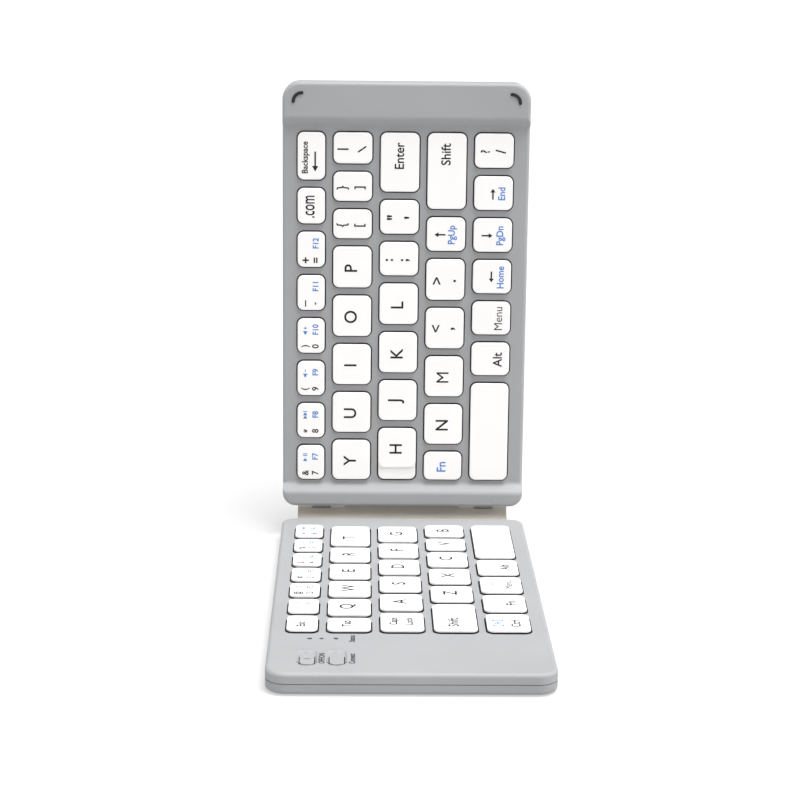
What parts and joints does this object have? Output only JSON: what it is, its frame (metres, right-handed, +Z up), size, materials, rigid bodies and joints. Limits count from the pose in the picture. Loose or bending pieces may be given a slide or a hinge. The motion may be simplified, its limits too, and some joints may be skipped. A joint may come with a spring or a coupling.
{
  "type": "folding keyboard",
  "caption": "Two-half folding computer keyboard with low island keys, a dual-axis hinge spine, push-buttons and rubber feet, shown standing half open.",
  "frame": {"origin": "On the ground, at the middle of the left half's back foot beside the hinge.", "axes": "+X along the key rows towards the right half, +Y away from the typist, +Z up."},
  "size_m": [0.1633, 0.084, 0.1582],
  "materials": {
    "case_plastic": "moulded ABS, fine satin texture",
    "key_plastic": "moulded ABS key caps, satin, printed legends",
    "spine_plastic": "moulded nylon, matt",
    "pin_steel": "ground steel pins",
    "ribbon_film": "polyimide flat cable",
    "window_plastic": "clear moulded light guides",
    "socket_steel": "stamped and plated steel shell",
    "black_rubber": "moulded silicone rubber",
    "grey_rubber": "moulded silicone rubber",
    "battery_foil": "aluminium laminate pouch",
    "board_laminate": "glass-fibre laminate with solder mask",
    "switch_rubber": "silicone dome sheet on printed film",
    "plate_aluminium": "rolled aluminium sheet"
  },
  "bodies": {
    "left_half": {"left_top_case": "case_plastic", "left_bottom_case": "case_plastic", "status_windows": "window_plastic", "charging_socket": "socket_steel", "left_feet": "grey_rubber", "battery": "battery_foil", "main_board": "board_laminate", "left_switch_sheet": "switch_rubber", "left_support_plate": "plate_aluminium"},
    "spine": {"hinge_spine": "spine_plastic", "hinge_pins": "pin_steel", "ribbon_cable": "ribbon_film"},
    "right_half": {"right_top_case": "case_plastic", "right_bottom_case": "case_plastic", "corner_bumpers": "black_rubber", "right_feet": "grey_rubber", "right_switch_sheet": "switch_rubber", "right_support_plate": "plate_aluminium"},
    "power_push": {"power_button": "case_plastic"},
    "connect_push": {"connect_button": "case_plastic"},
    "left_number_keys_caps": {"left_number_keys": "key_plastic"},
    "key_t_cap": {"key_t": "key_plastic"},
    "key_r_cap": {"key_r": "key_plastic"},
    "key_e_cap": {"key_e": "key_plastic"},
    "key_w_cap": {"key_w": "key_plastic"},
    "key_q_cap": {"key_q": "key_plastic"},
    "key_tab_cap": {"key_tab": "key_plastic"},
    "key_g_cap": {"key_g": "key_plastic"},
    "key_f_cap": {"key_f": "key_plastic"},
    "key_d_cap": {"key_d": "key_plastic"},
    "key_s_cap": {"key_s": "key_plastic"},
    "key_a_cap": {"key_a": "key_plastic"},
    "key_caps_lock_cap": {"key_caps_lock": "key_plastic"},
    "key_b_cap": {"key_b": "key_plastic"},
    "key_v_cap": {"key_v": "key_plastic"},
    "key_c_cap": {"key_c": "key_plastic"},
    "key_x_cap": {"key_x": "key_plastic"},
    "key_z_cap": {"key_z": "key_plastic"},
    "key_shift_left_cap": {"key_shift_left": "key_plastic"},
    "key_space_left_cap": {"key_space_left": "key_plastic"},
    "left_modifier_keys_caps": {"left_modifier_keys": "key_plastic"},
    "right_number_keys_caps": {"right_number_keys": "key_plastic"},
    "key_backspace_cap": {"key_backspace": "key_plastic"},
    "key_y_cap": {"key_y": "key_plastic"},
    "key_u_cap": {"key_u": "key_plastic"},
    "key_i_cap": {"key_i": "key_plastic"},
    "key_o_cap": {"key_o": "key_plastic"},
    "key_p_cap": {"key_p": "key_plastic"},
    "right_symbol_keys_caps": {"right_symbol_keys": "key_plastic"},
    "key_h_cap": {"key_h": "key_plastic"},
    "key_j_cap": {"key_j": "key_plastic"},
    "key_k_cap": {"key_k": "key_plastic"},
    "key_l_cap": {"key_l": "key_plastic"},
    "key_enter_cap": {"key_enter": "key_plastic"},
    "right_modifier_keys_caps": {"right_modifier_keys": "key_plastic"},
    "key_n_cap": {"key_n": "key_plastic"},
    "key_m_cap": {"key_m": "key_plastic"},
    "arrow_keys_caps": {"arrow_keys": "key_plastic"},
    "key_shift_right_cap": {"key_shift_right": "key_plastic"},
    "key_space_right_cap": {"key_space_right": "key_plastic"}
  },
  "joints": [
    {"name": "left_hinge", "type": "hinge", "parent": "left_half", "child": "spine", "pos_m": [0.0122, -0.031, 0.0035], "axis": [0, -1, 0], "range_deg": [-44, 46]},
    {"name": "right_hinge", "type": "hinge", "parent": "spine", "child": "right_half", "pos_m": [0.01939, -0.031, 0.01045], "axis": [0, -1, 0], "range_deg": [-44, 46]},
    {"name": "left_number_keys_travel", "type": "slide", "parent": "left_half", "child": "left_number_keys_caps", "axis": [0, 0, -1], "range_m": [0, 0.0012], "stiffness_N_per_m": 200, "springref_m": -0.001},
    {"name": "key_t_travel", "type": "slide", "parent": "left_half", "child": "key_t_cap", "axis": [0, 0, -1], "range_m": [0, 0.0012], "stiffness_N_per_m": 200, "springref_m": -0.001},
    {"name": "key_r_travel", "type": "slide", "parent": "left_half", "child": "key_r_cap", "axis": [0, 0, -1], "range_m": [0, 0.0012], "stiffness_N_per_m": 200, "springref_m": -0.001},
    {"name": "key_e_travel", "type": "slide", "parent": "left_half", "child": "key_e_cap", "axis": [0, 0, -1], "range_m": [0, 0.0012], "stiffness_N_per_m": 200, "springref_m": -0.001},
    {"name": "key_w_travel", "type": "slide", "parent": "left_half", "child": "key_w_cap", "axis": [0, 0, -1], "range_m": [0, 0.0012], "stiffness_N_per_m": 200, "springref_m": -0.001},
    {"name": "key_q_travel", "type": "slide", "parent": "left_half", "child": "key_q_cap", "axis": [0, 0, -1], "range_m": [0, 0.0012], "stiffness_N_per_m": 200, "springref_m": -0.001},
    {"name": "key_tab_travel", "type": "slide", "parent": "left_half", "child": "key_tab_cap", "axis": [0, 0, -1], "range_m": [0, 0.0012], "stiffness_N_per_m": 200, "springref_m": -0.001},
    {"name": "key_g_travel", "type": "slide", "parent": "left_half", "child": "key_g_cap", "axis": [0, 0, -1], "range_m": [0, 0.0012], "stiffness_N_per_m": 200, "springref_m": -0.001},
    {"name": "key_f_travel", "type": "slide", "parent": "left_half", "child": "key_f_cap", "axis": [0, 0, -1], "range_m": [0, 0.0012], "stiffness_N_per_m": 200, "springref_m": -0.001},
    {"name": "key_d_travel", "type": "slide", "parent": "left_half", "child": "key_d_cap", "axis": [0, 0, -1], "range_m": [0, 0.0012], "stiffness_N_per_m": 200, "springref_m": -0.001},
    {"name": "key_s_travel", "type": "slide", "parent": "left_half", "child": "key_s_cap", "axis": [0, 0, -1], "range_m": [0, 0.0012], "stiffness_N_per_m": 200, "springref_m": -0.001},
    {"name": "key_a_travel", "type": "slide", "parent": "left_half", "child": "key_a_cap", "axis": [0, 0, -1], "range_m": [0, 0.0012], "stiffness_N_per_m": 200, "springref_m": -0.001},
    {"name": "key_caps_lock_travel", "type": "slide", "parent": "left_half", "child": "key_caps_lock_cap", "axis": [0, 0, -1], "range_m": [0, 0.0012], "stiffness_N_per_m": 200, "springref_m": -0.001},
    {"name": "key_b_travel", "type": "slide", "parent": "left_half", "child": "key_b_cap", "axis": [0, 0, -1], "range_m": [0, 0.0012], "stiffness_N_per_m": 200, "springref_m": -0.001},
    {"name": "key_v_travel", "type": "slide", "parent": "left_half", "child": "key_v_cap", "axis": [0, 0, -1], "range_m": [0, 0.0012], "stiffness_N_per_m": 200, "springref_m": -0.001},
    {"name": "key_c_travel", "type": "slide", "parent": "left_half", "child": "key_c_cap", "axis": [0, 0, -1], "range_m": [0, 0.0012], "stiffness_N_per_m": 200, "springref_m": -0.001},
    {"name": "key_x_travel", "type": "slide", "parent": "left_half", "child": "key_x_cap", "axis": [0, 0, -1], "range_m": [0, 0.0012], "stiffness_N_per_m": 200, "springref_m": -0.001},
    {"name": "key_z_travel", "type": "slide", "parent": "left_half", "child": "key_z_cap", "axis": [0, 0, -1], "range_m": [0, 0.0012], "stiffness_N_per_m": 200, "springref_m": -0.001},
    {"name": "key_shift_left_travel", "type": "slide", "parent": "left_half", "child": "key_shift_left_cap", "axis": [0, 0, -1], "range_m": [0, 0.0012], "stiffness_N_per_m": 200, "springref_m": -0.001},
    {"name": "key_space_left_travel", "type": "slide", "parent": "left_half", "child": "key_space_left_cap", "axis": [0, 0, -1], "range_m": [0, 0.0012], "stiffness_N_per_m": 200, "springref_m": -0.001},
    {"name": "left_modifier_keys_travel", "type": "slide", "parent": "left_half", "child": "left_modifier_keys_caps", "axis": [0, 0, -1], "range_m": [0, 0.0012], "stiffness_N_per_m": 200, "springref_m": -0.001},
    {"name": "right_number_keys_travel", "type": "slide", "parent": "right_half", "child": "right_number_keys_caps", "axis": [0.9994, 0, -0.0349], "range_m": [0, 0.0012], "stiffness_N_per_m": 200, "springref_m": -0.001},
    {"name": "key_backspace_travel", "type": "slide", "parent": "right_half", "child": "key_backspace_cap", "axis": [0.9994, 0, -0.0349], "range_m": [0, 0.0012], "stiffness_N_per_m": 200, "springref_m": -0.001},
    {"name": "key_y_travel", "type": "slide", "parent": "right_half", "child": "key_y_cap", "axis": [0.9994, 0, -0.0349], "range_m": [0, 0.0012], "stiffness_N_per_m": 200, "springref_m": -0.001},
    {"name": "key_u_travel", "type": "slide", "parent": "right_half", "child": "key_u_cap", "axis": [0.9994, 0, -0.0349], "range_m": [0, 0.0012], "stiffness_N_per_m": 200, "springref_m": -0.001},
    {"name": "key_i_travel", "type": "slide", "parent": "right_half", "child": "key_i_cap", "axis": [0.9994, 0, -0.0349], "range_m": [0, 0.0012], "stiffness_N_per_m": 200, "springref_m": -0.001},
    {"name": "key_o_travel", "type": "slide", "parent": "right_half", "child": "key_o_cap", "axis": [0.9994, 0, -0.0349], "range_m": [0, 0.0012], "stiffness_N_per_m": 200, "springref_m": -0.001},
    {"name": "key_p_travel", "type": "slide", "parent": "right_half", "child": "key_p_cap", "axis": [0.9994, 0, -0.0349], "range_m": [0, 0.0012], "stiffness_N_per_m": 200, "springref_m": -0.001},
    {"name": "right_symbol_keys_travel", "type": "slide", "parent": "right_half", "child": "right_symbol_keys_caps", "axis": [0.9994, 0, -0.0349], "range_m": [0, 0.0012], "stiffness_N_per_m": 200, "springref_m": -0.001},
    {"name": "key_h_travel", "type": "slide", "parent": "right_half", "child": "key_h_cap", "axis": [0.9994, 0, -0.0349], "range_m": [0, 0.0012], "stiffness_N_per_m": 200, "springref_m": -0.001},
    {"name": "key_j_travel", "type": "slide", "parent": "right_half", "child": "key_j_cap", "axis": [0.9994, 0, -0.0349], "range_m": [0, 0.0012], "stiffness_N_per_m": 200, "springref_m": -0.001},
    {"name": "key_k_travel", "type": "slide", "parent": "right_half", "child": "key_k_cap", "axis": [0.9994, 0, -0.0349], "range_m": [0, 0.0012], "stiffness_N_per_m": 200, "springref_m": -0.001},
    {"name": "key_l_travel", "type": "slide", "parent": "right_half", "child": "key_l_cap", "axis": [0.9994, 0, -0.0349], "range_m": [0, 0.0012], "stiffness_N_per_m": 200, "springref_m": -0.001},
    {"name": "key_enter_travel", "type": "slide", "parent": "right_half", "child": "key_enter_cap", "axis": [0.9994, 0, -0.0349], "range_m": [0, 0.0012], "stiffness_N_per_m": 200, "springref_m": -0.001},
    {"name": "right_modifier_keys_travel", "type": "slide", "parent": "right_half", "child": "right_modifier_keys_caps", "axis": [0.9994, 0, -0.0349], "range_m": [0, 0.0012], "stiffness_N_per_m": 200, "springref_m": -0.001},
    {"name": "key_n_travel", "type": "slide", "parent": "right_half", "child": "key_n_cap", "axis": [0.9994, 0, -0.0349], "range_m": [0, 0.0012], "stiffness_N_per_m": 200, "springref_m": -0.001},
    {"name": "key_m_travel", "type": "slide", "parent": "right_half", "child": "key_m_cap", "axis": [0.9994, 0, -0.0349], "range_m": [0, 0.0012], "stiffness_N_per_m": 200, "springref_m": -0.001},
    {"name": "arrow_keys_travel", "type": "slide", "parent": "right_half", "child": "arrow_keys_caps", "axis": [0.9994, 0, -0.0349], "range_m": [0, 0.0012], "stiffness_N_per_m": 200, "springref_m": -0.001},
    {"name": "key_shift_right_travel", "type": "slide", "parent": "right_half", "child": "key_shift_right_cap", "axis": [0.9994, 0, -0.0349], "range_m": [0, 0.0012], "stiffness_N_per_m": 200, "springref_m": -0.001},
    {"name": "key_space_right_travel", "type": "slide", "parent": "right_half", "child": "key_space_right_cap", "axis": [0.9994, 0, -0.0349], "range_m": [0, 0.0012], "stiffness_N_per_m": 200, "springref_m": -0.001},
    {"name": "power_travel", "type": "slide", "parent": "left_half", "child": "power_push", "axis": [0, 0, -1], "range_m": [0, 0.0004], "stiffness_N_per_m": 400, "springref_m": -0.001},
    {"name": "connect_travel", "type": "slide", "parent": "left_half", "child": "connect_push", "axis": [0, 0, -1], "range_m": [0, 0.0004], "stiffness_N_per_m": 400, "springref_m": -0.001}
  ]
}
